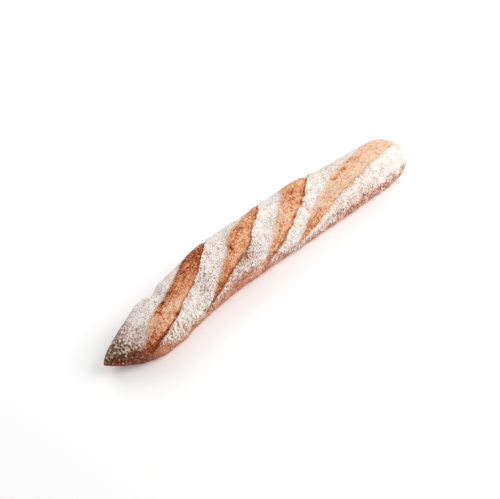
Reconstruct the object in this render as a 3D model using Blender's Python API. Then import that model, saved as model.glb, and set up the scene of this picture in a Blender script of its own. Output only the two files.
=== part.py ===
"""A floured, scored baguette lying on its flat sole. Metres, +Z up, +X along the loaf.

The body is a sphere drawn out to the loaf's form: every point has a place along the loaf and an
angle round it, 0 on the side of -Y, 90 along the crest and 180 on the side of +Y. Four slanting
slashes are then raised and sunk in that surface, each between its own two edges.
"""

import math

import bmesh
import bpy
import numpy as np
from mathutils import Vector, noise

# The loaf
LENGTH = 0.480
HEIGHT_TO_WIDTH = 0.70
HEIGHT_POWER = 0.8  # the ends lose height a little later than width
TIP_LENGTH = 0.069  # the pointed end, at -X
TIP_SHAPE = (1.37, 1.26)
TIP_LEVEL = 0.014  # how far the very end is above the table
BLUNT_LENGTH = 0.051  # the round end, at +X
BLUNT_SHAPE = (2.3, 2.5)
BLUNT_LEVEL = 0.017
LEVEL_POWER = 1.5

# Share of the length, and the full width of the plain body there
WIDTHS = (
    (0.00, 0.0670),
    (0.15, 0.0675),
    (0.30, 0.0715),
    (0.45, 0.0745),
    (0.60, 0.0760),
    (0.75, 0.0715),
    (1.00, 0.0630),
)
# Share of the length, and how far the middle line strays towards +Y
BEND = (
    (0.00, -0.0060),
    (0.10, -0.0105),
    (0.22, -0.0045),
    (0.36, 0.0050),
    (0.60, 0.0020),
    (0.84, -0.0050),
    (1.00, -0.0100),
)
CENTRE_Y = 0.0006  # the middle of the bent loaf's box, which goes to Y = 0

# The cross-section: a rounded dome over a soft-edged flat sole, rounder at both ends
DOME_POWER = 2.2
WAIST = 0.42  # the widest level, as a share of the height
SOLE_DEPTH = (1.0, 1.7)
SOLE_SOFTNESS = (0.05, 0.45)

# Where this loaf is fuller or dented: the place along it and the angle round it in degrees, how far
# that reaches along it and round it, and how high it stands
SWELLS = (
    (0.075, 135, 0.009, 0.024, 0.0012),
    (0.096, 135, 0.0075, 0.024, -0.0050),
    (0.094, -18, 0.016, 0.020, 0.0016),
    (0.216, -15, 0.020, 0.020, 0.0016),
    (0.245, 128, 0.022, 0.024, -0.0018),
    (0.314, 130, 0.022, 0.024, 0.0020),
    (0.458, -15, 0.014, 0.020, -0.0018),
)

# The slashes: angle round the loaf in degrees, then where the edge nearer to the tip and the ear,
# which is the edge nearer to the round end, lie along the loaf, in metres from the tip
SLASHES = (
    (
        (2, 0.046, 0.048),
        (20, 0.041, 0.059),
        (40, 0.046, 0.090),
        (58, 0.055, 0.120),
        (78, 0.070, 0.151),
        (98, 0.108, 0.167),
        (115, 0.134, 0.181),
        (138, 0.153, 0.190),
        (162, 0.188, 0.193),
    ),
    (
        (-8, 0.130, 0.133),
        (12, 0.144, 0.157),
        (35, 0.160, 0.187),
        (54, 0.176, 0.219),
        (73, 0.194, 0.234),
        (95, 0.206, 0.252),
        (119, 0.237, 0.268),
        (155, 0.276, 0.281),
    ),
    (
        (-12, 0.215, 0.219),
        (8, 0.229, 0.245),
        (32, 0.243, 0.269),
        (52, 0.257, 0.290),
        (70, 0.269, 0.309),
        (90, 0.285, 0.325),
        (110, 0.298, 0.339),
        (133, 0.309, 0.350),
        (158, 0.350, 0.355),
    ),
    (
        (-10, 0.276, 0.280),
        (10, 0.286, 0.306),
        (32, 0.300, 0.334),
        (50, 0.318, 0.374),
        (66, 0.340, 0.424),
        (82, 0.360, 0.461),
        (95, 0.379, 0.469),
        (108, 0.408, 0.472),
        (128, 0.434, 0.471),
        (155, 0.462, 0.467),
    ),
)

# Relief, in metres
CRUMB_RISE = 0.0020  # the torn crumb swells between the edges
SOFT_EDGE_DROP = 0.0008
EAR_DROP = 0.0030  # and dips just before the ear
EAR_DIP_WIDTH = 0.0060
EAR_RISE = 0.0013  # the ear is the lifted lip of the crust
EAR_WIDTH = 0.0090
EAR_SHARES = (1.0, 0.95, 0.95, 0.45)  # how much of that dip and rise each slash has
WALL_WIDTH = 0.0026
FULL_WIDTH = 0.014  # a slash wider than this has its full depth
LUMP = 0.0011
LUMP_SIZE = 0.050
TEAR = 0.0007  # ridges that run along a slash, where the dough tore
TEAR_WIDTH = 0.0050
TEAR_LENGTH = 0.030
LEAST_RADIUS = 0.004
MEAN_RADIUS = 0.035

# The mesh has rings along both edges of each slash. The ring counts are those of the tip, then of
# each slash and the band of crust after it
SEGMENTS = 44
RING_COUNTS = (26, 16, 13, 12, 10, 12, 15, 18, 19)
SLASH_CROWDING = 0.5  # of rings, towards a slash's edges
BAND_CROWDING = 0.3
END_CROWDING = 1.5  # towards the very ends
TOP_CROWDING = 0.3  # of segments, towards the crest

CRUST_COLOUR = (0.83, 0.72, 0.60)
CRUST_ROUGHNESS = 0.85


def smooth_step(value):
    held = np.clip(value, 0.0, 1.0)
    return held * held * (3.0 - 2.0 * held)


def spline(points, at):
    """The natural cubic spline through the points, read at the given places."""
    x, y = np.array(points, float).T
    gap = np.diff(x)
    count = len(x)
    system = np.eye(count)
    load = np.zeros(count)
    for i in range(1, count - 1):
        system[i, i - 1 : i + 2] = gap[i - 1], 2 * (gap[i - 1] + gap[i]), gap[i]
        load[i] = 6 * ((y[i + 1] - y[i]) / gap[i] - (y[i] - y[i - 1]) / gap[i - 1])
    bend = np.linalg.solve(system, load)
    at = np.clip(at, x[0], x[-1])
    i = np.clip(np.searchsorted(x, at, side="right") - 1, 0, count - 2)
    after = at - x[i]
    before = x[i + 1] - at
    curve = (bend[i] * before**3 + bend[i + 1] * after**3) / (6 * gap[i])
    start = (y[i] / gap[i] - bend[i] * gap[i] / 6) * before
    end = (y[i + 1] / gap[i] - bend[i + 1] * gap[i] / 6) * after
    return curve + start + end


def end_taper(distance, length, shape):
    """From 0 at an end of the loaf to 1 where its full section begins."""
    inner, outer = shape
    left = np.clip(1 - distance / length, 0, 1)
    return (1 - left**inner) ** (1 / outer)


def tapers(along):
    tip = end_taper(along, TIP_LENGTH, TIP_SHAPE)
    blunt = end_taper(LENGTH - along, BLUNT_LENGTH, BLUNT_SHAPE)
    return tip, blunt


def half_width(along):
    tip, blunt = tapers(along)
    return spline(WIDTHS, along / LENGTH) / 2 * tip * blunt


def soft_floor(level, softness):
    """The level, held at 0 or more with a rounded corner."""
    share = np.clip(0.5 + 0.5 * level / softness, 0, 1)
    return level * share + softness * share * (1 - share)


def body_point(along, angle):
    """Points on the plain body, for places along it in metres and angles round it in radians."""
    tip, blunt = tapers(along)
    taper = tip * blunt
    side = np.cos(angle)
    up = np.sin(angle)
    reach = (np.abs(side) ** DOME_POWER + np.abs(up) ** DOME_POWER) ** (-1 / DOME_POWER)
    height = HEIGHT_TO_WIDTH * spline(WIDTHS, along / LENGTH) * taper**HEIGHT_POWER
    waist = WAIST * height
    full = smooth_step(taper)
    depth = SOLE_DEPTH[0] + (SOLE_DEPTH[1] - SOLE_DEPTH[0]) * full
    softness = SOLE_SOFTNESS[0] + (SOLE_SOFTNESS[1] - SOLE_SOFTNESS[0]) * full
    dome = waist + (height - waist) * up * reach
    sole = soft_floor(waist + depth * waist * up * reach, softness * waist + 1e-9)
    lift = TIP_LEVEL * (1 - tip) ** LEVEL_POWER + BLUNT_LEVEL * (1 - blunt) ** LEVEL_POWER
    x = along - LENGTH / 2
    y = spline(BEND, along / LENGTH) - CENTRE_Y - half_width(along) * side * reach
    z = np.where(up >= 0, dome, sole) + lift
    return np.stack([x, y, z], axis=-1)


def degrees_round(angle):
    """The angle in degrees, from -90 under the near side to 270 under the far side."""
    return (np.degrees(angle) + 90) % 360 - 90


def slash_edge(rows, column, turn):
    """Where one edge of a slash lies along the loaf. Past its ends it runs on under the loaf."""
    table = np.array(rows)
    first, last = table[0], table[-1]
    after = (turn - last[0]) % 360
    share = smooth_step(after / (first[0] + 360 - last[0]))
    beyond = last[column] + (first[column] - last[column]) * share
    inside = (turn >= first[0]) & (turn <= last[0])
    return np.where(inside, spline(table[:, [0, column]], turn), beyond)


def edge_distance(rows, column, along, turn):
    """How far past an edge of a slash a place is, in metres, square to the edge."""
    slope = slash_edge(rows, column, turn + 1) - slash_edge(rows, column, turn - 1)
    lean = slope / math.radians(2) / np.maximum(half_width(along), LEAST_RADIUS)
    return (along - slash_edge(rows, column, turn)) / np.sqrt(1 + lean**2)


def torn(across, angle):
    """Long ridges in the crumb, for distances across a slash and angles round the loaf."""
    run = angle * MEAN_RADIUS
    ridges = [
        noise.noise(Vector((a / TEAR_WIDTH, r / TEAR_LENGTH, 0))) for a, r in zip(across, run)
    ]
    return TEAR * np.array(ridges)


def slash_relief(rows, ear_share, along, angle):
    """How far one slash lifts or sinks the surface."""
    turn = degrees_round(angle)
    past = np.radians(np.maximum(rows[0][0] - turn, turn - rows[-1][0])) * half_width(along)
    inside_tip_edge = np.minimum(edge_distance(rows, 1, along, turn), -past)
    inside_ear = np.minimum(-edge_distance(rows, 2, along, turn), -past)
    width = np.maximum(inside_tip_edge + inside_ear, 0)
    strength = smooth_step(width / FULL_WIDTH)
    opened = smooth_step(inside_tip_edge / WALL_WIDTH)
    walled = smooth_step(inside_ear / WALL_WIDTH)
    share = np.clip(inside_tip_edge / np.maximum(width, 1e-6), 0, 1)
    crumb = CRUMB_RISE * np.sin(math.pi * share) - SOFT_EDGE_DROP
    crumb = crumb + torn(inside_tip_edge, angle)
    dip = ear_share * EAR_DROP * np.exp(-((np.maximum(inside_ear, 0) / EAR_DIP_WIDTH) ** 2))
    lip = ear_share * EAR_RISE * np.exp(-((np.minimum(inside_ear, 0) / EAR_WIDTH) ** 2))
    return strength * opened * (walled * (crumb - dip) + (1 - walled) * lip)


def swells(along, angle):
    """How far the fuller and the dented places lift or sink the plain body."""
    total = np.zeros_like(along)
    for place, turn, reach, round_reach, height in SWELLS:
        round_it = np.radians(degrees_round(angle) - turn) * MEAN_RADIUS
        total += height * np.exp(-(((along - place) / reach) ** 2) - (round_it / round_reach) ** 2)
    return total


def above_sole(angle):
    """1 on the dome and the sides, falling to 0 where the sole begins."""
    return smooth_step((np.sin(angle) + 0.75) / 0.35)


def relief(points, along, angle):
    lumps = [noise.noise(Vector(point) / LUMP_SIZE) for point in points]
    total = LUMP * np.array(lumps) + swells(along, angle)
    for rows, ear_share in zip(SLASHES, EAR_SHARES):
        total = total + slash_relief(rows, ear_share, along, angle)
    return total * above_sole(angle)


def crowded(share, crowding):
    """Shares from 0 to 1, closer together at both ends."""
    return share - crowding * np.sin(2 * math.pi * share) / (2 * math.pi)


def ring_place(ring, turn):
    """Where a ring crosses the loaf at an angle: slashes' edges are rings, others lie between."""
    last_zone = len(RING_COUNTS) - 1
    edges = [np.zeros_like(turn)]
    for rows in SLASHES:
        edges.append(slash_edge(rows, 1, turn))
        edges.append(slash_edge(rows, 2, turn))
    edges.append(np.full_like(turn, LENGTH))
    place = np.zeros_like(turn)
    start = 0
    for zone, count in enumerate(RING_COUNTS):
        share = np.clip((ring - start) / count, 0, 1)
        if zone == 0:
            share = share**END_CROWDING
        elif zone == last_zone:
            share = 1 - (1 - crowded(share, SLASH_CROWDING)) ** END_CROWDING
        else:
            share = crowded(share, SLASH_CROWDING if zone % 2 else BAND_CROWDING)
        place += (edges[zone + 1] - edges[zone]) * share
        start += count
    return place


def loaf_coordinates(mesh):
    """Each sphere vertex's place along the loaf and its angle round it."""
    directions = np.array([vertex.co.normalized() for vertex in mesh.verts])
    ring = np.arccos(np.clip(-directions[:, 2], -1, 1)) / math.pi * sum(RING_COUNTS)
    turn = np.arctan2(directions[:, 1], directions[:, 0])
    angle = turn + TOP_CROWDING * np.cos(turn)
    return ring_place(ring, degrees_round(angle)), angle


def make_loaf():
    mesh = bmesh.new()
    bmesh.ops.create_uvsphere(mesh, u_segments=SEGMENTS, v_segments=sum(RING_COUNTS), radius=1)
    along, angle = loaf_coordinates(mesh)
    points = body_point(along, angle)
    for vertex, point in zip(mesh.verts, points):
        vertex.co = point
    bmesh.ops.reverse_faces(mesh, faces=mesh.faces)  # the places above mirror the sphere
    mesh.normal_update()
    normals = [vertex.normal.copy() for vertex in mesh.verts]
    for vertex, normal, height in zip(mesh.verts, normals, relief(points, along, angle)):
        vertex.co += normal * float(height)
    data = bpy.data.meshes.new("loaf")
    mesh.to_mesh(data)
    mesh.free()
    data.shade_smooth()
    return bpy.data.objects.new("loaf", data)


def crust_material():
    material = bpy.data.materials.new("crust")
    material.use_nodes = True
    shader = material.node_tree.nodes["Principled BSDF"]
    shader.inputs["Base Color"].default_value = (*CRUST_COLOUR, 1)
    shader.inputs["Roughness"].default_value = CRUST_ROUGHNESS
    return material


def main():
    for leftover in list(bpy.data.objects):
        bpy.data.objects.remove(leftover)
    collection = bpy.data.collections.new("baguette")
    bpy.context.scene.collection.children.link(collection)
    loaf = make_loaf()
    loaf.data.materials.append(crust_material())
    collection.objects.link(loaf)


main()
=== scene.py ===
"""The looks of a floured, scored baguette: its crust, its torn slashes and the studio round it.

Metres, +Z up, +X along the loaf from its pointed end. The crust has the same body and slashes as
the solid that it replaces, on a finer mesh: every point has a place along the loaf and an angle
round it, 0 on the side of -Y, 90 along the crest and 180 on the side of +Y.
"""

import math

import bmesh
import bpy
import numpy as np
from mathutils import Matrix, Vector, noise


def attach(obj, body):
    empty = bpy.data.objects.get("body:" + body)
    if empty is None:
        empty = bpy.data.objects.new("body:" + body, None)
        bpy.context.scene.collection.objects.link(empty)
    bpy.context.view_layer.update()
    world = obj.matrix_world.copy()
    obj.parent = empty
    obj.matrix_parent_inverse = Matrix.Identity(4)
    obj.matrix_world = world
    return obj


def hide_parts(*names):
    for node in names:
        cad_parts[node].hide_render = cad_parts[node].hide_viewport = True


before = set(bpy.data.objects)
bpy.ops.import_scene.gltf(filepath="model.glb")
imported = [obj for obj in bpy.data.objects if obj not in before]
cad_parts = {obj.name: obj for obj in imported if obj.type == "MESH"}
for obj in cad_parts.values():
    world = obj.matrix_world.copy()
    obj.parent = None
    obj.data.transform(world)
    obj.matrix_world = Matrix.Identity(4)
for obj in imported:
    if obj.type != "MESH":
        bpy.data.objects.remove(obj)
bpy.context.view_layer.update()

# The loaf, with the same numbers as its solid as far as the slashes' relief
LENGTH = 0.480
HEIGHT_TO_WIDTH = 0.70
HEIGHT_POWER = 0.8  # the ends lose height a little later than width
TIP_LENGTH = 0.069  # the pointed end, at -X
TIP_SHAPE = (1.37, 1.26)
TIP_LEVEL = 0.014  # how far the very end is above the table
BLUNT_LENGTH = 0.051  # the round end, at +X
BLUNT_SHAPE = (2.3, 2.5)
BLUNT_LEVEL = 0.017
LEVEL_POWER = 1.5

# Share of the length, and the full width of the plain body there
WIDTHS = (
    (0.00, 0.0670),
    (0.15, 0.0675),
    (0.30, 0.0715),
    (0.45, 0.0745),
    (0.60, 0.0760),
    (0.75, 0.0715),
    (1.00, 0.0630),
)
# Share of the length, and how far the middle line strays towards +Y
BEND = (
    (0.00, -0.0060),
    (0.10, -0.0105),
    (0.22, -0.0045),
    (0.36, 0.0050),
    (0.60, 0.0020),
    (0.84, -0.0050),
    (1.00, -0.0100),
)
CENTRE_Y = 0.0006  # the middle of the bent loaf's box, which goes to Y = 0

# The cross-section: a rounded dome over a soft-edged flat sole, rounder at both ends
DOME_POWER = 2.2
WAIST = 0.42  # the widest level, as a share of the height
SOLE_DEPTH = (1.0, 1.7)
SOLE_SOFTNESS = (0.05, 0.45)

# Where this loaf is fuller or dented: the place along it and the angle round it in degrees, how far
# that reaches along it and round it, and how high it stands
SWELLS = (
    (0.075, 135, 0.009, 0.024, 0.0012),
    (0.096, 135, 0.0075, 0.024, -0.0050),
    (0.094, -18, 0.016, 0.020, 0.0016),
    (0.216, -15, 0.020, 0.020, 0.0016),
    (0.245, 128, 0.022, 0.024, -0.0018),
    (0.314, 130, 0.022, 0.024, 0.0020),
    (0.458, -15, 0.014, 0.020, -0.0018),
)

# The slashes: angle round the loaf in degrees, then where the edge nearer to the tip and the ear,
# which is the edge nearer to the round end, lie along the loaf, in metres from the tip
SLASHES = (
    (
        (2, 0.046, 0.048),
        (20, 0.041, 0.059),
        (40, 0.046, 0.090),
        (58, 0.055, 0.120),
        (78, 0.070, 0.151),
        (98, 0.108, 0.167),
        (115, 0.134, 0.181),
        (138, 0.153, 0.190),
        (162, 0.188, 0.193),
    ),
    (
        (-8, 0.130, 0.133),
        (12, 0.144, 0.157),
        (35, 0.160, 0.187),
        (54, 0.176, 0.219),
        (73, 0.194, 0.234),
        (95, 0.206, 0.252),
        (119, 0.237, 0.268),
        (155, 0.276, 0.281),
    ),
    (
        (-12, 0.215, 0.219),
        (8, 0.229, 0.245),
        (32, 0.243, 0.269),
        (52, 0.257, 0.290),
        (70, 0.269, 0.309),
        (90, 0.285, 0.325),
        (110, 0.298, 0.339),
        (133, 0.309, 0.350),
        (158, 0.350, 0.355),
    ),
    (
        (-10, 0.276, 0.280),
        (10, 0.286, 0.306),
        (32, 0.300, 0.334),
        (50, 0.318, 0.374),
        (66, 0.340, 0.424),
        (82, 0.360, 0.461),
        (95, 0.379, 0.469),
        (108, 0.408, 0.472),
        (128, 0.434, 0.471),
        (155, 0.462, 0.467),
    ),
)

# Relief, in metres
CRUMB_RISE = 0.0020  # the torn crumb swells between the edges
SOFT_EDGE_DROP = 0.0008
EAR_DROP = 0.0030  # and dips just before the ear
EAR_DIP_WIDTH = 0.0060
EAR_RISE = 0.0013  # the ear is the lifted lip of the crust
EAR_WIDTH = 0.0090
FULL_WIDTH = 0.014  # a slash wider than this has its full depth
LUMP = 0.0011
LUMP_SIZE = 0.050
TEAR = 0.0007  # ridges that run along a slash, where the dough tore
TEAR_WIDTH = 0.0050
TEAR_LENGTH = 0.030
LEAST_RADIUS = 0.004
MEAN_RADIUS = 0.035

# The fine mesh has rings along both edges of each slash. The ring counts are those of the tip, then
# of each slash and the band of crust after it
SEGMENTS = 204
RING_COUNTS = (90, 60, 45, 42, 34, 38, 40, 66, 65)
SLASH_CROWDING = 0.55  # of rings, towards a slash's edges
BAND_CROWDING = 0.35
END_CROWDING = 1.4  # towards the very ends
TOP_CROWDING = 0.42  # of segments, towards the crest

# The slashes' ragged edges, as pairs of a wave's size and height
SOFT_RAG = ((0.014, 0.0016), (0.0055, 0.0012), (0.0030, 0.0005))
EAR_RAG = ((0.013, 0.0015), (0.0056, 0.0017), (0.0030, 0.0006))
RAG_SHIFT = 7  # in metres, so that the two edges of a slash take their waves from different places
LEAST_GAP = 0.0006  # between a slash's two edges
SOFT_WALL = 0.0036  # how wide the slope is on the inner side of a soft edge
# Each slash's ear: how much of the dip and the rise it has, how far its lip leans over as a share
# of the reach, its wall's width, and the share of the wall that lies beyond the edge
EARS = (
    (1.0, 1.0, 0.0010, 0.5),
    (0.95, 0.9, 0.0012, 0.5),
    (0.95, 0.9, 0.0012, 0.5),
    (0.45, 0.1, 0.0070, 0.0),
)
EAR_SETBACK = 0.0004  # the ear's foot lies this far back under its lip
LIP_REACH = 0.0009  # how far a lip leans out over its slash
LIP_FRONT = 0.0008  # it leans most this far back from the edge, and less and less over its length
LIP_LENGTH = 0.0065
LIP_SIZE = 0.011  # it is higher and longer in some places than in others, this far apart
LIP_UNEVENNESS = 0.7

# The skin: lumps and grains, as sizes along the loaf and round it, then heights
SKIN_WAVES = ((0.0110, 0.0140, 0.00045), (0.0040, 0.0060, 0.00022), (0.0022, 0.0030, 0.00014))
WRINKLE_SIZE = (0.0042, 0.0150)
WRINKLE_RISE = 0.00050
WRINKLED_EAR = 0.0130  # the skin is wrinkled this far from an ear
CREASED_SINES = (-0.2, 0.6)  # and on the sides, below the first sine fully and above the second not
LEAST_WRINKLE = 0.2
SKIN_FADE = 0.001  # the skin's relief ends this far inside a slash

# The crumb: torn bubbles, as sizes across a slash and along it, and fine waves
BUBBLE_SIZE = (0.0044, 0.0078)
BUBBLE_RISE = 0.00095
SMALL_BUBBLE_SIZE = (0.0022, 0.0034)
SMALL_BUBBLE_RISE = 0.00034
BUBBLE_WALL = 0.45  # a wall's width as a share of a bubble's
# the grain's hollows are painted darker on the crumb as painted shade
LARGE_SHARE = 0.6  # of the large bubbles in the grain that colours the crumb
WARP = 0.0016  # bends the bubbles out of their even rows
WARP_SIZE = 0.0070
WARP_SHIFTS = (0.1, 0.2, 0.3)  # where its three directions are read
CRUMB_WAVES = ((0.0090, 0.00055), (0.0026, 0.00022))
CRUMB_SINK = 0.0004  # its middle lies this much lower, because the bubbles stand out from it

# How brown each slash's crumb is baked: angle round the loaf in degrees, then by the soft edge and
# by the ear
TOAST = (
    (
        (8, 2.1, 2.1),
        (24, 1.6, 1.5),
        (42, 0.9, 0.4),
        (62, 0.3, -0.2),
        (84, 0.7, 0.7),
        (110, 1.3, 1.6),
    ),
    (
        (0, 1.3, 1.5),
        (14, 1.2, 1.8),
        (36, 0.6, 0.5),
        (60, 0.5, 0.4),
        (78, 0.8, 0.2),
        (100, 0.5, 0.9),
    ),
    (
        (0, 0.6, 0.8),
        (30, 0.3, 0.3),
        (56, -0.1, 0.1),
        (84, 0.0, 0.6),
        (104, 0.3, 0.7),
    ),
    (
        (5, 0.5, 0.8),
        (22, 0.7, 0.6),
        (40, 0.0, -0.2),
        (58, -0.3, -0.4),
        (74, -0.1, -0.4),
        (92, -0.1, -0.4),
        (108, -0.2, -0.3),
    ),
)

# Where the crumb is scorched, with the same columns as the swells, but how much browner it is last
SCORCHES = (
    (0.080, 70, 0.0030, 0.0040, 1.2),
    (0.091, 84, 0.0030, 0.0040, 1.4),
    (0.103, 90, 0.0030, 0.0050, 1.2),
    (0.097, 45, 0.0025, 0.0040, 1.6),
    (0.130, 65, 0.0030, 0.0050, 1.0),
    (0.183, 52, 0.0035, 0.0040, 0.9),
    (0.200, 72, 0.0040, 0.0050, 0.9),
    (0.300, 84, 0.0060, 0.0060, 0.6),
    (0.309, 102, 0.0060, 0.0060, 0.6),
    (0.367, 76, 0.0050, 0.0030, 1.2),
    (0.385, 87, 0.0070, 0.0030, 1.0),
    (0.404, 99, 0.0080, 0.0040, 0.9),
)

# The flour ends low on the sides: the place along the loaf, the sine of the angle round it where
# it does, and how much of the crust is bare below
FLOUR_LINE = (
    (0.000, 0.95, 0.90),
    (0.024, 0.78, 0.92),
    (0.045, 0.66, 0.95),
    (0.058, 0.56, 0.95),
    (0.068, 0.32, 0.90),
    (0.080, 0.00, 0.86),
    (0.117, -0.07, 0.86),
    (0.150, 0.02, 0.88),
    (0.178, 0.30, 0.92),
    (0.195, 0.20, 0.92),
    (0.230, 0.12, 0.88),
    (0.262, -0.15, 0.80),
    (0.335, -0.10, 0.82),
    (0.352, 0.08, 0.84),
    (0.400, 0.20, 0.80),
    (0.440, 0.14, 0.72),
    (0.480, 0.04, 0.62),
)
FLOUR_FADE = 0.80
FLOUR_WANDER = (0.010, 0.25)  # the size of its waves and how far they go

# How much crust shows between the flour on the dome: the place along the loaf, then the share
FLOUR_GAPS = (
    (0.000, 0.80),
    (0.030, 0.56),
    (0.048, 0.28),
    (0.062, 0.08),
    (0.085, 0.12),
    (0.140, 0.19),
    (0.190, 0.07),
    (0.290, 0.07),
    (0.380, 0.19),
    (0.430, 0.04),
    (0.480, -0.04),
)

# Where it is thinner or thicker than that, with the same columns as the swells, but how much more
# crust shows last
FLOUR_SPOTS = (
    (0.146, 56, 0.017, 0.015, 0.16),
    (0.118, 28, 0.014, 0.014, -0.10),
    (0.147, 3, 0.012, 0.010, 0.20),
    (0.205, 42, 0.022, 0.014, 0.46),
    (0.262, 88, 0.020, 0.020, -0.06),
    (0.372, 30, 0.030, 0.012, 0.10),
)
EAR_GAPS = 0.05  # how much more crust shows just beyond an ear

# Where cracks run round the loaf through the flour, with the same columns, but how deep they are last
CRACKS = (
    (0.082, 14, 0.022, 0.014, 0.9),
    (0.195, 16, 0.020, 0.018, 0.9),
)
SHARE_TO_LEVEL = 0.20  # how far a share of 1 moves the level of noise that flour covers
BARE_FROM = 0.85  # crust barer than this loses its last specks, as the level moves by so much more
BARE_LEVEL = 0.09
TIP_BROWNING = 0.030  # over this length from the tip, the dark bake fades to about a third
PALE_END = (0.220, 0.420)  # between these places the crust under the flour turns paler

# What the material learns about each vertex
EAR_LIMIT = 0.03  # distances from an ear are held to this
LEAST_STRENGTH = 0.02  # a slash weaker than this has no ear
SIDE_BLEND = 0.008  # over this width, what is by the ear turns into what is by the soft edge
SOFT_EAR = 0.5  # an ear that leans less than this looks like a soft edge, by this share

# The crust's own map: the dome in three lengths, and the sole beside them, in metres
UV_BLOCKS = 3
UV_MARGIN = 0.003
DOME_ARC = 0.164  # round the dome and the sides, which take up this share of a turn
DOME_TURN = 0.77
SOLE_WIDTH = 0.062
SOLE_SINE = -0.78  # the sine of the angle where the sole begins

# The studio: each light's direction and power. Both are discs of one size, equally far away
LIGHTS = {
    "key": ((0.55, -0.50, 0.66), 9.7),
    "back": ((0.0, 0.75, 0.66), 5.3),
}
LIGHT_DISTANCE = 1.3
LIGHT_SIZE = 0.9
WORLD_STRENGTH = 0.50
FLOOR_SIZE = 30
FLOOR_LEVEL = -0.0002
FLOOR_GREY = 0.92
FLOOR_ROUGHNESS = 0.9
FLOOR_GLOW = 0.16

# The photograph's view
CAMERA_AZIMUTH = -32.3
CAMERA_ELEVATION = 45.3
CAMERA_ROLL = 11.73
CAMERA_DISTANCE = 1.4
CAMERA_TARGET = (-0.010, 0.0003, 0.020)
CAMERA_LENS = 82.67
SENSOR_WIDTH = 36


# ---- the loaf's form ----


def smooth_step(value):
    held = np.clip(value, 0.0, 1.0)
    return held * held * (3.0 - 2.0 * held)


def spline(points, at):
    """The natural cubic spline through the points, read at the given places."""
    x, y = np.array(points, float).T
    gap = np.diff(x)
    count = len(x)
    system = np.eye(count)
    load = np.zeros(count)
    for i in range(1, count - 1):
        system[i, i - 1 : i + 2] = gap[i - 1], 2 * (gap[i - 1] + gap[i]), gap[i]
        load[i] = 6 * ((y[i + 1] - y[i]) / gap[i] - (y[i] - y[i - 1]) / gap[i - 1])
    bend = np.linalg.solve(system, load)
    at = np.clip(at, x[0], x[-1])
    i = np.clip(np.searchsorted(x, at, side="right") - 1, 0, count - 2)
    after = at - x[i]
    before = x[i + 1] - at
    curve = (bend[i] * before**3 + bend[i + 1] * after**3) / (6 * gap[i])
    start = (y[i] / gap[i] - bend[i] * gap[i] / 6) * before
    end = (y[i + 1] / gap[i] - bend[i + 1] * gap[i] / 6) * after
    return curve + start + end


def end_taper(distance, length, shape):
    """From 0 at an end of the loaf to 1 where its full section begins."""
    inner, outer = shape
    left = np.clip(1 - distance / length, 0, 1)
    return (1 - left**inner) ** (1 / outer)


def tapers(along):
    tip = end_taper(along, TIP_LENGTH, TIP_SHAPE)
    blunt = end_taper(LENGTH - along, BLUNT_LENGTH, BLUNT_SHAPE)
    return tip, blunt


def half_width(along):
    tip, blunt = tapers(along)
    return spline(WIDTHS, along / LENGTH) / 2 * tip * blunt


def soft_floor(level, softness):
    """The level, held at 0 or more with a rounded corner."""
    share = np.clip(0.5 + 0.5 * level / softness, 0, 1)
    return level * share + softness * share * (1 - share)


def body_point(along, angle):
    """Points on the plain body, for places along it in metres and angles round it in radians."""
    tip, blunt = tapers(along)
    taper = tip * blunt
    side = np.cos(angle)
    up = np.sin(angle)
    reach = (np.abs(side) ** DOME_POWER + np.abs(up) ** DOME_POWER) ** (-1 / DOME_POWER)
    height = HEIGHT_TO_WIDTH * spline(WIDTHS, along / LENGTH) * taper**HEIGHT_POWER
    waist = WAIST * height
    full = smooth_step(taper)
    depth = SOLE_DEPTH[0] + (SOLE_DEPTH[1] - SOLE_DEPTH[0]) * full
    softness = SOLE_SOFTNESS[0] + (SOLE_SOFTNESS[1] - SOLE_SOFTNESS[0]) * full
    dome = waist + (height - waist) * up * reach
    sole = soft_floor(waist + depth * waist * up * reach, softness * waist + 1e-9)
    lift = TIP_LEVEL * (1 - tip) ** LEVEL_POWER + BLUNT_LEVEL * (1 - blunt) ** LEVEL_POWER
    x = along - LENGTH / 2
    y = spline(BEND, along / LENGTH) - CENTRE_Y - half_width(along) * side * reach
    z = np.where(up >= 0, dome, sole) + lift
    return np.stack([x, y, z], axis=-1)


def degrees_round(angle):
    """The angle in degrees, from -90 under the near side to 270 under the far side."""
    return (np.degrees(angle) + 90) % 360 - 90


def slash_edge(rows, column, turn):
    """Where one edge of a slash lies along the loaf. Past its ends it runs on under the loaf."""
    table = np.array(rows)
    first, last = table[0], table[-1]
    after = (turn - last[0]) % 360
    share = smooth_step(after / (first[0] + 360 - last[0]))
    beyond = last[column] + (first[column] - last[column]) * share
    inside = (turn >= first[0]) & (turn <= last[0])
    return np.where(inside, spline(table[:, [0, column]], turn), beyond)


def blot(along, angle, place, turn, reach, round_reach):
    """1 at a place on the loaf, fading to 0 over its reach along the loaf and round it."""
    round_it = np.radians(degrees_round(angle) - turn) * MEAN_RADIUS
    return np.exp(-(((along - place) / reach) ** 2) - (round_it / round_reach) ** 2)


def blots(rows, along, angle):
    """The sum of a table's blots, each as strong as its last column says."""
    total = np.zeros_like(along)
    for place, turn, reach, round_reach, strength in rows:
        total += strength * blot(along, angle, place, turn, reach, round_reach)
    return total


def above_sole(angle):
    """1 on the dome and the sides, falling to 0 where the sole begins."""
    return smooth_step((np.sin(angle) + 0.75) / 0.35)


# ---- noise ----


def noise_at(points, size):
    """Smooth noise from -1 to 1 at each point, in waves of the given size."""
    return np.array([noise.noise(point) for point in (points / size).tolist()])


def ridges_at(points, size):
    """Sharp ridges up to 1 between rounded hollows down to -1."""
    return 1 - 4 * np.abs(noise_at(points, size))


# ---- slashes ----


def edge_slope(rows, column, turn):
    """How far an edge moves along the loaf for each radian round it."""
    return (slash_edge(rows, column, turn + 1) - slash_edge(rows, column, turn - 1)) / math.radians(2)


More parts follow.
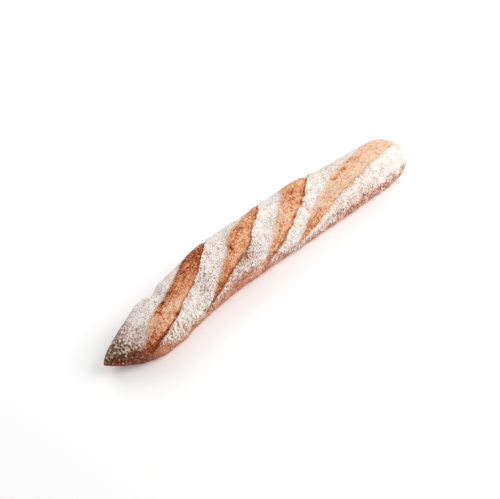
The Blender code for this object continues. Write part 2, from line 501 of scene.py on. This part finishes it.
def ragged(rows, column, turn, rag):
    """A slash's edge for each segment, torn unevenly to both sides."""
    edge = slash_edge(rows, column, turn)
    points = body_point(edge, np.radians(turn))
    stretch = np.hypot(1, edge_slope(rows, column, turn) / np.maximum(half_width(edge), LEAST_RADIUS))
    width = slash_edge(rows, 2, turn) - slash_edge(rows, 1, turn)
    sway = sum(height * noise_at(points + RAG_SHIFT * column, size) for size, height in rag)
    return edge + sway * stretch * smooth_step(width / FULL_WIDTH)


class Slash:
    """One slash: its edges for each segment of the mesh, then its distances at each vertex."""

    def __init__(self, rows, turns, ear):
        self.rows = rows
        self.ear_share, self.lip_share, self.ear_wall, self.beyond = ear
        self.soft = ragged(rows, 1, turns, SOFT_RAG)
        self.ear = np.maximum(ragged(rows, 2, turns, EAR_RAG) + EAR_SETBACK, self.soft + LEAST_GAP)
        middle = (slash_edge(rows, 1, turns) + slash_edge(rows, 2, turns)) / 2
        points = body_point(middle, np.radians(turns))
        order = np.argsort(turns)
        steps = np.linalg.norm(np.diff(points[order], axis=0), axis=1)
        run = np.concatenate([[0], np.cumsum(steps)])
        self.run_of_segment = np.empty_like(run)
        self.run_of_segment[order] = run

    def measure(self, along, segment, turn):
        """Sets each vertex's distances into the slash from both edges, and what follows from them."""
        radius = np.maximum(half_width(along), LEAST_RADIUS)
        self.soft_lean = edge_slope(self.rows, 1, turn) / radius
        self.ear_lean = edge_slope(self.rows, 2, turn) / radius
        first, last = self.rows[0][0], self.rows[-1][0]
        past = np.radians(np.maximum(first - turn, turn - last)) * half_width(along)
        from_soft = (along - self.soft[segment]) / np.hypot(1, self.soft_lean)
        from_ear = (self.ear[segment] - along) / np.hypot(1, self.ear_lean)
        self.inside_soft = np.minimum(from_soft, -past)
        self.inside_ear = np.minimum(from_ear, -past)
        self.width = np.maximum(self.inside_soft + self.inside_ear, 0)
        self.strength = smooth_step(self.width / FULL_WIDTH)
        self.run = self.run_of_segment[segment]

    def bake(self, turn, toast):
        """How brown the crumb is baked, read between the toast table's rows and columns."""
        angle, by_soft, by_ear = np.array(toast).T
        share = np.clip(self.inside_soft / np.maximum(self.width, 1e-6), 0, 1)
        return (1 - share) * np.interp(turn, angle, by_soft) + share * np.interp(turn, angle, by_ear)

    def crumb_height(self, points, angle):
        """The torn crumb's height over the plain body."""
        across = self.inside_soft
        share = np.clip(across / np.maximum(self.width, 1e-6), 0, 1)
        height = (CRUMB_RISE - CRUMB_SINK) * np.sin(math.pi * share) - SOFT_EDGE_DROP
        flow = np.stack([across, angle * MEAN_RADIUS, 0 * across], axis=-1)
        height = height + TEAR * noise_at(flow, np.array([TEAR_WIDTH, TEAR_LENGTH, 1]))
        dip = np.exp(-((np.maximum(self.inside_ear, 0) / EAR_DIP_WIDTH) ** 2))
        height = height - self.ear_share * EAR_DROP * dip
        for size, rise in CRUMB_WAVES:
            height = height + rise * noise_at(points, size)
        torn = np.stack([across, self.run, 0 * across], axis=-1)
        self.grain, bubbles = crumb_grain(torn)
        return height + bubbles

    def relief(self, points, angle):
        """How far the slash lifts or sinks the surface, and how far the lip leans over it."""
        opened = smooth_step(self.inside_soft / SOFT_WALL)
        walled = smooth_step(self.beyond + self.inside_ear / self.ear_wall)
        lip = 1 + LIP_UNEVENNESS * noise_at(points, LIP_SIZE)
        outside = np.maximum(-self.inside_ear, 0)
        raised = self.ear_share * EAR_RISE * lip * np.exp(-((outside / EAR_WIDTH) ** 2))
        crumb = self.crumb_height(points, angle)
        height = self.strength * opened * (walled * crumb + (1 - walled) * raised)
        reach = smooth_step(outside / LIP_FRONT) * np.exp(-((outside / LIP_LENGTH) ** 2))
        lean = self.lip_share * LIP_REACH * lip * reach
        return height, self.strength * opened * lean


def crumb_grain(torn):
    """Torn bubbles: their walls up to 1 and their hollows down to -1, and how far both stand out."""
    warp = WARP * np.stack([noise_at(torn + shift, WARP_SIZE) for shift in WARP_SHIFTS], axis=-1)
    large = bubble_walls(torn + warp, BUBBLE_SIZE)
    small = bubble_walls(torn + warp, SMALL_BUBBLE_SIZE)
    grain = LARGE_SHARE * large + (1 - LARGE_SHARE) * small
    return grain, BUBBLE_RISE * large + SMALL_BUBBLE_RISE * small


def bubble_walls(torn, size):
    """1 on the walls between cells of the given size, and -1 in their hollows."""
    cells = torn / np.array([*size, 0.01])
    near = np.array([noise.voronoi(cell)[0][:2] for cell in cells.tolist()])
    wall = 1 - smooth_step((near[:, 1] - near[:, 0]) / BUBBLE_WALL)
    return 2 * wall - 1


# ---- the crust's mesh ----


def crowded(share, crowding):
    """Shares from 0 to 1, closer together at both ends."""
    return share - crowding * np.sin(2 * math.pi * share) / (2 * math.pi)


def ring_place(ring, segment, slashes):
    """Where a ring crosses the loaf in a segment: slashes' edges are rings, others lie between."""
    last_zone = len(RING_COUNTS) - 1
    edges = [np.zeros(SEGMENTS)]
    for slash in slashes:
        edges.append(slash.soft)
        edges.append(slash.ear)
    edges.append(np.full(SEGMENTS, LENGTH))
    place = np.zeros(len(ring))
    start = 0
    for zone, count in enumerate(RING_COUNTS):
        share = np.clip((ring - start) / count, 0, 1)
        if zone == 0:
            share = share**END_CROWDING
        elif zone == last_zone:
            share = 1 - (1 - crowded(share, SLASH_CROWDING)) ** END_CROWDING
        else:
            share = crowded(share, SLASH_CROWDING if zone % 2 else BAND_CROWDING)
        place += (edges[zone + 1] - edges[zone])[segment] * share
        start += count
    return place


def read(collection, field, width):
    """One row of numbers for each vertex or normal."""
    values = np.empty(len(collection) * width, np.float32)
    collection.foreach_get(field, values)
    return values.reshape(-1, width).astype(float)


def read_whole(collection, field):
    """One whole number for each face or corner."""
    values = np.empty(len(collection), np.int32)
    collection.foreach_get(field, values)
    return values


def unit(vectors):
    return vectors / np.maximum(np.linalg.norm(vectors, axis=-1, keepdims=True), 1e-12)


def sphere_mesh(name):
    sphere = bmesh.new()
    bmesh.ops.create_uvsphere(sphere, u_segments=SEGMENTS, v_segments=sum(RING_COUNTS), radius=1)
    data = bpy.data.meshes.new(name)
    sphere.to_mesh(data)
    sphere.free()
    return data


def surface_frame(along, angle):
    """The unit directions along the loaf and round it, in the plain body's surface."""
    step = 0.0005
    turn_step = 0.01
    inner = np.clip(along, step, LENGTH - step)
    forward = body_point(inner + step, angle) - body_point(inner - step, angle)
    onward = body_point(inner, angle + turn_step) - body_point(inner, angle - turn_step)
    return unit(forward), unit(onward)


def skin_relief(points, wrinkled):
    """Lumps and grains of the floured skin, and its wrinkles, which run across the loaf."""
    height = np.zeros(len(points))
    for along, round_it, rise in SKIN_WAVES:
        height += rise * noise_at(points, np.array([along, round_it, round_it]))
    along, round_it = WRINKLE_SIZE
    wrinkles = ridges_at(points, np.array([along, round_it, round_it]))
    return height + WRINKLE_RISE * wrinkled * wrinkles, wrinkles


def map_crust(data, along, angle):
    """The crust's own map: the dome in three lengths, and the sole's three lengths beside them."""
    loops = read_whole(data.loops, "vertex_index")
    sizes = read_whole(data.polygons, "loop_total")
    face = np.repeat(np.arange(len(sizes)), sizes)
    y = read(data.vertices, "co", 3)[:, 1]
    middle = np.bincount(face, along[loops]) / sizes
    lowest = np.bincount(face, np.sin(angle)[loops]) / sizes
    block = np.clip((middle / LENGTH * UV_BLOCKS).astype(int), 0, UV_BLOCKS - 1)[face]
    sole = (lowest < SOLE_SINE)[face]
    length = LENGTH / UV_BLOCKS
    side = length + 2 * UV_MARGIN
    across = along[loops] - block * length + UV_MARGIN
    turn = degrees_round(angle)[loops] / 360
    from_crest = turn - 0.25
    dome_up = from_crest * DOME_ARC / DOME_TURN + DOME_ARC / 2 + UV_MARGIN
    dome_x = (block % 2) * side + across
    dome_y = (block // 2) * side + dome_up
    strip = side / UV_BLOCKS
    sole_x = side + across
    sole_y = side + block * strip + strip / 2 + y[loops] * (strip - 2 * UV_MARGIN) / SOLE_WIDTH
    flat = np.stack([np.where(sole, sole_x, dome_x), np.where(sole, sole_y, dome_y)], axis=-1)
    flat = flat / (2 * side)
    layer = data.uv_layers.new(name="OFBake")
    layer.uv.foreach_set("vector", flat.astype(np.float32).ravel())


def keep(data, name, values):
    """Stores one number or one vector at each vertex, for the material."""
    kind = "FLOAT" if values.ndim == 1 else "FLOAT_VECTOR"
    field = "value" if values.ndim == 1 else "vector"
    attribute = data.attributes.new(name, kind, "POINT")
    attribute.data.foreach_set(field, values.astype(np.float32).ravel())


def slash_fields(slashes, turn):
    """Signed distances into the slashes and from their ears, and how and where their crumb is torn."""
    within = np.array([np.minimum(slash.inside_soft, slash.inside_ear) for slash in slashes])
    deepest = within.argmax(axis=0)
    pick = np.arange(within.shape[1])
    inside = within[deepest, pick]
    ears = np.array([slash.inside_ear for slash in slashes])
    behind = [(slash.inside_soft > 0) & (slash.strength > LEAST_STRENGTH) for slash in slashes]
    behind = np.array(behind)
    nearest = np.where(behind, np.abs(ears), 1.0).argmin(axis=0)
    band_ear = np.where(behind.any(axis=0), ears[nearest, pick], -1.0)
    ear = np.where(inside > 0, ears[deepest, pick], band_ear)
    torn = np.array([np.stack([s.inside_soft, s.run, 0 * s.run], axis=-1) for s in slashes])
    toast = np.array([slash.bake(turn, toast) for slash, toast in zip(slashes, TOAST)])
    grain = np.array([slash.grain for slash in slashes])
    strength = np.array([slash.strength for slash in slashes])
    softs = np.array([slash.inside_soft for slash in slashes])
    nearer = (np.abs(ears) - np.abs(softs))[deepest, pick]
    soft_ears = SOFT_EAR * np.array([lip_share < SOFT_EAR for _, lip_share, _, _ in EARS])[deepest]
    return {
        "inside": inside,
        "soft_side": np.maximum(smooth_step(0.5 + nearer / SIDE_BLEND), soft_ears),
        "ear": np.clip(ear, -EAR_LIMIT, EAR_LIMIT),
        "torn": torn[deepest, pick] + np.stack([0 * inside, 0 * inside, deepest], axis=-1),
        "crumb_grain": grain[deepest, pick],
        "toast": toast[deepest, pick],
        "wide": strength[deepest, pick],
    }


def lowness(points, along, angle):
    """0 where the crust is floured, rising to 1 low on the sides, where it is bare."""
    size, reach = FLOUR_WANDER
    place, sine, _ = np.array(FLOUR_LINE).T
    line = np.interp(along, place, sine) + reach * noise_at(points, size)
    return smooth_step(0.5 + (line - np.sin(angle)) / FLOUR_FADE)


def crust_share(along, angle, low, by_ear):
    """How much of the crust shows between the flour."""
    share = np.interp(along, *np.array(FLOUR_GAPS).T) + EAR_GAPS * by_ear
    share += blots(FLOUR_SPOTS, along, angle)
    place, _, bare = np.array(FLOUR_LINE).T
    return share + (np.interp(along, place, bare) - share) * low


def flour_fields(points, along, angle, by_ear):
    """How low, how bare and how cracked the floured skin is, and how near to either end."""
    low = lowness(points, along, angle)
    share = crust_share(along, angle, low, by_ear)
    barest = np.maximum(share - BARE_FROM, 0) / (1 - BARE_FROM)
    return {
        "low": low,
        "thin": SHARE_TO_LEVEL * (share - 0.5) + BARE_LEVEL * barest,
        "cracked": blots(CRACKS, along, angle),
        "tip": np.exp(-along / TIP_BROWNING),
        "pale": smooth_step((along - PALE_END[0]) / (PALE_END[1] - PALE_END[0])),
    }


def lay_out(data):
    """The slashes, and each sphere vertex's segment, place along the loaf and angle round it."""
    directions = read(data.vertices, "co", 3)
    ring = np.rint(np.arccos(np.clip(-directions[:, 2], -1, 1)) / math.pi * sum(RING_COUNTS))
    step = 2 * math.pi / SEGMENTS
    segment = np.rint(np.arctan2(directions[:, 1], directions[:, 0]) / step).astype(int) % SEGMENTS
    turns = np.arange(SEGMENTS) * step
    angles = turns + TOP_CROWDING * np.cos(turns)
    slashes = [Slash(rows, degrees_round(angles), ear) for rows, ear in zip(SLASHES, EARS)]
    return slashes, segment, ring_place(ring, segment, slashes), angles[segment]


def open_slashes(slashes, segment, points, along, angle):
    """How high the slashes lift the surface, and how far their lips slide over it."""
    forward, onward = surface_frame(along, angle)
    height = np.zeros(len(points))
    slide = np.zeros((len(points), 3))
    for slash in slashes:
        slash.measure(along, segment, degrees_round(angle))
        rise, lean = slash.relief(points, angle)
        height += rise
        slide += lean[:, None] * unit(slash.ear_lean[:, None] * onward - forward)
    return height, slide


def place_vertices(data, points):
    data.vertices.foreach_set("co", points.astype(np.float32).ravel())
    data.update()


def make_crust():
    data = sphere_mesh("loaf_crust")
    slashes, segment, along, angle = lay_out(data)
    points = body_point(along, angle)
    place_vertices(data, points)
    data.flip_normals()  # the places above mirror the sphere
    data.update()
    normals = read(data.vertex_normals, "vector", 3)

    height, slide = open_slashes(slashes, segment, points, along, angle)
    height += LUMP * noise_at(points, LUMP_SIZE) + blots(SWELLS, along, angle)
    fields = slash_fields(slashes, degrees_round(angle))
    by_ear = np.exp(-((np.minimum(fields["ear"], 0) / WRINKLED_EAR) ** 2))
    low_sine, high_sine = CREASED_SINES
    on_side = 1 - smooth_step((np.sin(angle) - low_sine) / (high_sine - low_sine))
    creased = np.maximum(by_ear, on_side)
    skin_height, wrinkles = skin_relief(points, LEAST_WRINKLE + (1 - LEAST_WRINKLE) * creased)
    height += (1 - smooth_step(fields["inside"] / SKIN_FADE)) * skin_height
    points = points + above_sole(angle)[:, None] * (height[:, None] * normals + slide)
    points[:, 2] = np.maximum(points[:, 2], 0)
    place_vertices(data, points)

    fields.update(flour_fields(points, along, angle, by_ear))
    fields["toast"] += blots(SCORCHES, along, angle)
    fields["creased"] = creased
    fields["wrinkles"] = wrinkles
    for name, values in fields.items():
        keep(data, name, values)
    map_crust(data, along, angle)
    data.shade_smooth()
    crust = bpy.data.objects.new("loaf_crust", data)
    bpy.context.scene.collection.objects.link(crust)
    return crust


# ---- material ----


class Graph:
    """A material's nodes, written as sums. Each method adds a node and returns what it gives."""

    def __init__(self, name):
        self.material = bpy.data.materials.new(name)
        self.material.use_nodes = True
        self.tree = self.material.node_tree
        self.shader = self.tree.nodes["Principled BSDF"]

    def node(self, kind, **settings):
        node = self.tree.nodes.new(kind)
        for name, value in settings.items():
            setattr(node, name, value)
        return node

    def feed(self, socket, value):
        if isinstance(value, bpy.types.NodeSocket):
            self.tree.links.new(value, socket)
        else:
            socket.default_value = value

    def place(self):
        return self.node("ShaderNodeTexCoord").outputs["Object"]

    def attribute(self, name, output="Fac"):
        return self.node("ShaderNodeAttribute", attribute_name=name).outputs[output]

    def math(self, operation, first, second):
        node = self.node("ShaderNodeMath", operation=operation)
        self.feed(node.inputs[0], first)
        self.feed(node.inputs[1], second)
        return node.outputs[0]

    def add(self, first, second):
        return self.math("ADD", first, second)

    def times(self, first, second):
        return self.math("MULTIPLY", first, second)

    def weigh(self, *parts):
        """The sum of each value times its weight."""
        total = self.times(*parts[0])
        for value, weight in parts[1:]:
            total = self.add(total, self.times(value, weight))
        return total

    def invert(self, value):
        return self.math("SUBTRACT", 1.0, value)

    def step(self, value, low, high):
        """0 below low, 1 above high, and smooth between."""
        node = self.node("ShaderNodeMapRange", interpolation_type="SMOOTHSTEP")
        self.feed(node.inputs["Value"], value)
        self.feed(node.inputs["From Min"], low)
        self.feed(node.inputs["From Max"], high)
        return node.outputs["Result"]

    def scaled(self, vector, scale):
        node = self.node("ShaderNodeVectorMath", operation="MULTIPLY")
        self.feed(node.inputs[0], vector)
        self.feed(node.inputs[1], scale)
        return node.outputs["Vector"]

    def noise(self, vector, sizes, detail=2.0, roughness=0.5):
        """Noise from 0 to 1 with waves of the given size, or of one size along each axis."""
        sizes = sizes if isinstance(sizes, tuple) else (sizes, sizes, sizes)
        node = self.node("ShaderNodeTexNoise")
        self.feed(node.inputs["Vector"], self.scaled(vector, tuple(1 / size for size in sizes)))
        self.feed(node.inputs["Scale"], 1.0)
        self.feed(node.inputs["Detail"], detail)
        self.feed(node.inputs["Roughness"], roughness)
        return node.outputs[0]

    def ramp(self, value, *stops):
        """A colour for each value, blended between stops of a value and a colour."""
        node = self.node("ShaderNodeValToRGB")
        points = node.color_ramp.elements
        while len(points) < len(stops):
            points.new(1.0)
        for point, (position, stop_colour) in zip(points, stops):
            point.position = position
            point.color = stop_colour
        self.feed(node.inputs[0], value)
        return node.outputs["Color"]

    def mix(self, share, first, second):
        """From the first colour at 0 to the second at 1."""
        node = self.node("ShaderNodeMix", data_type="RGBA")
        self.feed(node.inputs[0], share)
        self.feed(node.inputs[6], first)
        self.feed(node.inputs[7], second)
        return node.outputs[2]

    def blend(self, share, first, second):
        """The same for numbers."""
        node = self.node("ShaderNodeMix", data_type="FLOAT")
        self.feed(node.inputs[0], share)
        self.feed(node.inputs[2], first)
        self.feed(node.inputs[3], second)
        return node.outputs[0]

    def bump(self, height, distance):
        node = self.node("ShaderNodeBump")
        self.feed(node.inputs["Strength"], 1.0)
        self.feed(node.inputs["Distance"], distance)
        self.feed(node.inputs["Height"], height)
        return node.outputs["Normal"]


def colour(red, green, blue):
    """A colour as it shows on a screen, 0 to 255, in the linear numbers that a shader takes."""
    shares = [value / 255 for value in (red, green, blue)]
    linear = [s / 12.92 if s <= 0.04045 else ((s + 0.055) / 1.055) ** 2.4 for s in shares]
    return (*linear, 1.0)


FLOUR = colour(254, 248, 241)
THIN_FLOUR = colour(245, 235, 225)
EDGE_FLOUR = colour(250, 228, 212)
TIP_FLOUR = colour(242, 209, 172)
BAND_DARK = colour(138, 76, 40)
BAND_LIGHT = colour(198, 126, 80)
PALE_BAND = colour(204, 154, 126)
LOW_DARK = colour(156, 86, 58)
LOW_LIGHT = colour(222, 152, 116)
TIP_TOP_DARK = colour(76, 53, 38)
TIP_TOP_LIGHT = colour(136, 99, 71)
TIP_LOW_DARK = colour(70, 27, 9)
TIP_LOW_LIGHT = colour(150, 77, 36)
CRUMB_PALE = colour(255, 228, 200)
CRUMB_TAN = colour(253, 182, 128)
CRUMB_BROWN = colour(222, 122, 64)
CRUMB_DARK = colour(146, 64, 30)
# the pits' colour: toasted crumb and painted shade in the pits
CRUMB_PIT_AND_SHADE = colour(112, 50, 24)
# burnt crumb at the foot of an ear, which is also painted shade under its lip
EAR_BURN_AND_SHADE = colour(92, 48, 26)


# The noises' sizes in metres, where there are three, along X, Y and Z
CRUMB_PATCHES = 0.0110
CRUMB_BLOBS = (0.0028, 0.0040, 0.0040)
CRUMB_CRAGS = (0.0016, 0.0024, 0.0024)
CRUMB_STREAKS = (0.0018, 0.0070, 1.0)  # across a slash and along it
CRUMB_PITS = (0.0017, 0.0025, 0.0025)
EAR_WANDER = 0.0040
EAR_DASHES = 0.0050
SKIN_SPECKS = (0.0012, 0.0018, 0.0018)
SKIN_STROKES = (0.0014, 0.0040, 0.0040)
SKIN_CRACKS = (0.0026, 0.0150, 0.0150)
SKIN_GRAIN = 0.0008
SKIN_PATCHES = 0.0100
SKIN_FLECKS = (0.0015, 0.0022, 0.0022)
TIP_SPECKS = (0.0024, 0.0034, 0.0034)
EDGE_FRAY = (0.0014, 0.0020, 0.0020)

FRAY = 0.0105  # how far the fray moves a soft edge, for noise from 0 to 1
FRAY_SPREAD = 0.0010  # and how far out it lies on average
DUSTED = 0.0024  # flour dusts the crumb this far from a soft edge
BUMP_DEPTH = 0.0014
SPECULAR = 0.3


def crumb_tone_and_painted_light(g, place):
    """How light the crumb is, 0 to 1: paler on its crags as painted highlight, darker in its hollows
    as painted shade, and dark where it is toasted.
    """
    blobs = g.noise(place, CRUMB_BLOBS, detail=3.0, roughness=0.6)
    crags = g.noise(place, CRUMB_CRAGS, detail=3.0, roughness=0.65)
    patches = g.noise(place, CRUMB_PATCHES)
    streaks = g.noise(g.attribute("torn", "Vector"), CRUMB_STREAKS, roughness=0.6)
    return g.weigh(
        (blobs, 0.20),
        (crags, 0.60),
        (patches, 0.12),
        (streaks, 0.08),
        # painted shade: darker in the bubbles' hollows, paler on their walls
        (g.attribute("crumb_grain"), 0.025),
        (g.attribute("toast"), -0.10),
    )


def crumb_pits_and_shade(g, place):
    """1 in the dark pits of the crumb, partly toasted and partly painted shade, of which toasted crumb
    has more.
    """
    level = g.noise(place, CRUMB_PITS, roughness=0.6)
    level = g.add(level, g.times(g.attribute("toast"), -0.03))
    return g.invert(g.step(level, 0.26, 0.40))


def ear_burn_and_shade(g, place):
    """How burnt the crumb is, with painted shade under the lip, in dashes along the foot of an ear."""
    wander = g.add(g.noise(place, EAR_WANDER), -0.5)
    ragged_ear = g.add(g.attribute("ear"), g.times(wander, 0.0060))
    near = g.invert(g.step(ragged_ear, 0.0002, 0.0024))
    dashes = g.add(g.noise(place, EAR_DASHES), g.times(g.attribute("toast"), 0.08))
    dashes = g.times(g.step(dashes, 0.46, 0.60), g.add(0.2, g.attribute("wide")))
    return g.times(near, dashes)


def crumb_colour(g, place, tone, pits):
    """Torn crumb: pale crags, brown hollows and dark pits, partly painted highlight and painted shade,
    burnt here and there by the ear, with painted shade under its lip.
    """
    # the pale stop doubles as painted highlight on the crags, the dark stops as painted shade in the
    # hollows
    tones = ((0.33, CRUMB_DARK), (0.40, CRUMB_BROWN), (0.46, CRUMB_TAN), (0.57, CRUMB_PALE))
    base = g.mix(g.times(pits, 0.75), g.ramp(tone, *tones), CRUMB_PIT_AND_SHADE)
    # the ear's dashes: burnt crumb and painted shade under the lip
    return g.mix(g.times(ear_burn_and_shade(g, place), 0.35), base, EAR_BURN_AND_SHADE)


def skin_noises(g, place):
    return {
        "specks": g.noise(place, SKIN_SPECKS, roughness=0.6),
        "strokes": g.noise(place, SKIN_STROKES, roughness=0.6),
        "tip_specks": g.noise(place, TIP_SPECKS, detail=3.0, roughness=0.6),
        "grain": g.noise(place, SKIN_GRAIN, roughness=0.6),
        "patches": g.noise(place, SKIN_PATCHES, detail=3.0),
    }


def flour_level(g, place, noises):
    """How much flour lies here: in specks, in strokes where it is creased, and less in cracks."""
    cracks = g.invert(g.step(g.noise(place, SKIN_CRACKS), 0.38, 0.45))
    level = g.blend(g.times(g.attribute("creased"), 0.75), noises["specks"], noises["strokes"])
    level = g.blend(g.step(g.attribute("tip"), 0.10, 0.40), level, noises["tip_specks"])
    return g.weigh(
        (level, 0.75),
        (noises["grain"], 0.25),
        (g.attribute("wrinkles"), 0.015),
        (g.add(noises["patches"], -0.5), 0.10),
        (g.times(cracks, g.attribute("cracked")), -0.20),
        (g.attribute("thin"), -1.0),
    )


def flour_cover(g, place, level):
    """1 where flour hides the crust, with flecks of crust between that get weaker to the round end."""
    flecks = g.invert(g.step(g.noise(place, SKIN_FLECKS, detail=1.0), 0.30, 0.42))
    flecks = g.times(flecks, g.blend(g.attribute("pale"), 0.75, 0.45))
    return g.times(g.step(level, 0.42, 0.58), g.invert(flecks))


def bare_crust(g, noises):
    """Brown crust: paler to the round end, redder low on the sides and dark on the pointed end."""
    low = g.attribute("low")
    tip = g.attribute("tip")
    tone = g.weigh((noises["strokes"], 0.6), (noises["patches"], 0.4))
    crust = g.ramp(tone, (0.38, BAND_DARK), (0.60, BAND_LIGHT))
    crust = g.mix(g.attribute("pale"), crust, PALE_BAND)
    low_crust = g.ramp(tone, (0.38, LOW_DARK), (0.60, LOW_LIGHT))
    crust = g.mix(g.step(low, 0.10, 0.60), crust, low_crust)
    tip_top = g.ramp(noises["specks"], (0.38, TIP_TOP_DARK), (0.60, TIP_TOP_LIGHT))
    crust = g.mix(g.step(tip, 0.18, 0.50), crust, tip_top)
    tip_low = g.ramp(noises["tip_specks"], (0.40, TIP_LOW_DARK), (0.60, TIP_LOW_LIGHT))
    return g.mix(g.times(g.step(tip, 0.07, 0.33), low), crust, tip_low)


def flour_colour(g, noises):
    """White flour, tinted by what it lies on along the soft edges and on the pointed end."""
    thickness = g.weigh((noises["grain"], 0.5), (noises["patches"], 0.5))
    flour = g.ramp(thickness, (0.38, THIN_FLOUR), (0.56, FLOUR))
    edge = g.times(g.step(g.attribute("inside"), -0.0030, 0.0005), g.attribute("soft_side"))
    flour = g.mix(g.times(edge, 0.5), flour, EDGE_FLOUR)
    return g.mix(g.step(g.attribute("tip"), 0.20, 0.70), flour, TIP_FLOUR)


def slash_border(g, place):
    """1 inside the slashes, whose soft edges are frayed, and how much flour dusts the crumb there."""
    fine = g.noise(place, EDGE_FRAY, detail=3.0, roughness=0.6)
    inside = g.attribute("inside")
    soft_side = g.attribute("soft_side")
    fray = g.times(g.times(g.add(fine, -0.5), FRAY), soft_side)
    frayed = g.add(g.add(inside, g.times(soft_side, FRAY_SPREAD)), fray)
    in_slash = g.step(frayed, -0.0004, 0.0004)
    fade = g.invert(g.step(g.add(inside, g.times(fray, 0.5)), 0.0, DUSTED))
    fade = g.times(fade, g.times(g.attribute("wide"), soft_side))
    dusting = g.step(g.add(g.times(fade, 0.5), fine), 0.78, 0.98)
    return in_slash, g.times(dusting, 0.5)


def crust_material():
    g = Graph("floured_crust")
    place = g.place()
    tone = crumb_tone_and_painted_light(g, place)
    pits = crumb_pits_and_shade(g, place)
    noises = skin_noises(g, place)
    level = flour_level(g, place, noises)
    cover = flour_cover(g, place, level)
    in_slash, dusting = slash_border(g, place)

    crumb = g.mix(dusting, crumb_colour(g, place, tone, pits), EDGE_FLOUR)
    skin = g.mix(cover, bare_crust(g, noises), flour_colour(g, noises))
    g.feed(g.shader.inputs["Base Color"], g.mix(in_slash, skin, crumb))
    roughness = g.blend(in_slash, g.blend(cover, 0.72, 0.95), g.blend(tone, 0.55, 0.85))
    g.feed(g.shader.inputs["Roughness"], roughness)
    crumb_height = g.add(g.times(g.add(tone, -0.17), 2.1), g.times(pits, -0.3))
    skin_height = g.weigh((level, 0.8), (cover, 0.15))
    height = g.blend(in_slash, skin_height, crumb_height)
    g.feed(g.shader.inputs["Normal"], g.bump(height, BUMP_DEPTH))
    g.shader.inputs["Specular IOR Level"].default_value = SPECULAR
    return g.material


# ---- studio ----


def make_floor():
    bpy.ops.mesh.primitive_plane_add(size=FLOOR_SIZE, location=(0, 0, FLOOR_LEVEL))
    floor = bpy.context.object
    floor.name = "floor"
    g = Graph("floor_white")
    g.shader.inputs["Base Color"].default_value = (FLOOR_GREY, FLOOR_GREY, FLOOR_GREY, 1)
    g.shader.inputs["Roughness"].default_value = FLOOR_ROUGHNESS
    g.shader.inputs["Emission Color"].default_value = (1, 1, 1, 1)
    g.shader.inputs["Emission Strength"].default_value = FLOOR_GLOW
    floor.data.materials.append(g.material)


def area_light(name, direction, power):
    """A disc of light that faces the middle of the loaf."""
    light = bpy.data.lights.new(name, "AREA")
    light.shape = "DISK"
    light.size = LIGHT_SIZE
    light.energy = power
    lamp = bpy.data.objects.new(name, light)
    way = Vector(direction).normalized()
    lamp.location = way * LIGHT_DISTANCE
    lamp.rotation_euler = way.to_track_quat("Z", "Y").to_euler()
    bpy.context.scene.collection.objects.link(lamp)


def make_lights():
    for name, (direction, power) in LIGHTS.items():
        area_light(name, direction, power)
    world = bpy.data.worlds.new("studio")
    bpy.context.scene.world = world
    world.use_nodes = True
    background = world.node_tree.nodes["Background"]
    background.inputs["Color"].default_value = (1, 1, 1, 1)
    background.inputs["Strength"].default_value = WORLD_STRENGTH


def make_camera():
    azimuth, elevation, roll = map(math.radians, (CAMERA_AZIMUTH, CAMERA_ELEVATION, CAMERA_ROLL))
    level = math.cos(elevation)
    back = Vector((math.sin(azimuth) * level, -math.cos(azimuth) * level, math.sin(elevation)))
    right = Vector((math.cos(azimuth), math.sin(azimuth), 0))
    up = back.cross(right)
    rolled_right = right * math.cos(roll) - up * math.sin(roll)
    rolled_up = right * math.sin(roll) + up * math.cos(roll)
    camera = bpy.data.objects.new("camera", bpy.data.cameras.new("camera"))
    camera.data.lens = CAMERA_LENS
    camera.data.sensor_width = SENSOR_WIDTH
    camera.data.sensor_fit = "HORIZONTAL"
    turned = Matrix((rolled_right, rolled_up, back)).transposed().to_4x4()
    camera.matrix_world = Matrix.Translation(Vector(CAMERA_TARGET) + back * CAMERA_DISTANCE) @ turned
    bpy.context.scene.collection.objects.link(camera)
    bpy.context.scene.camera = camera


def main():
    crust = make_crust()
    crust.data.materials.append(crust_material())
    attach(crust, "root")
    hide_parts("loaf")
    make_floor()
    make_lights()
    make_camera()
    settings = bpy.context.scene.view_settings
    settings.view_transform = "Standard"
    settings.look = "None"


main()
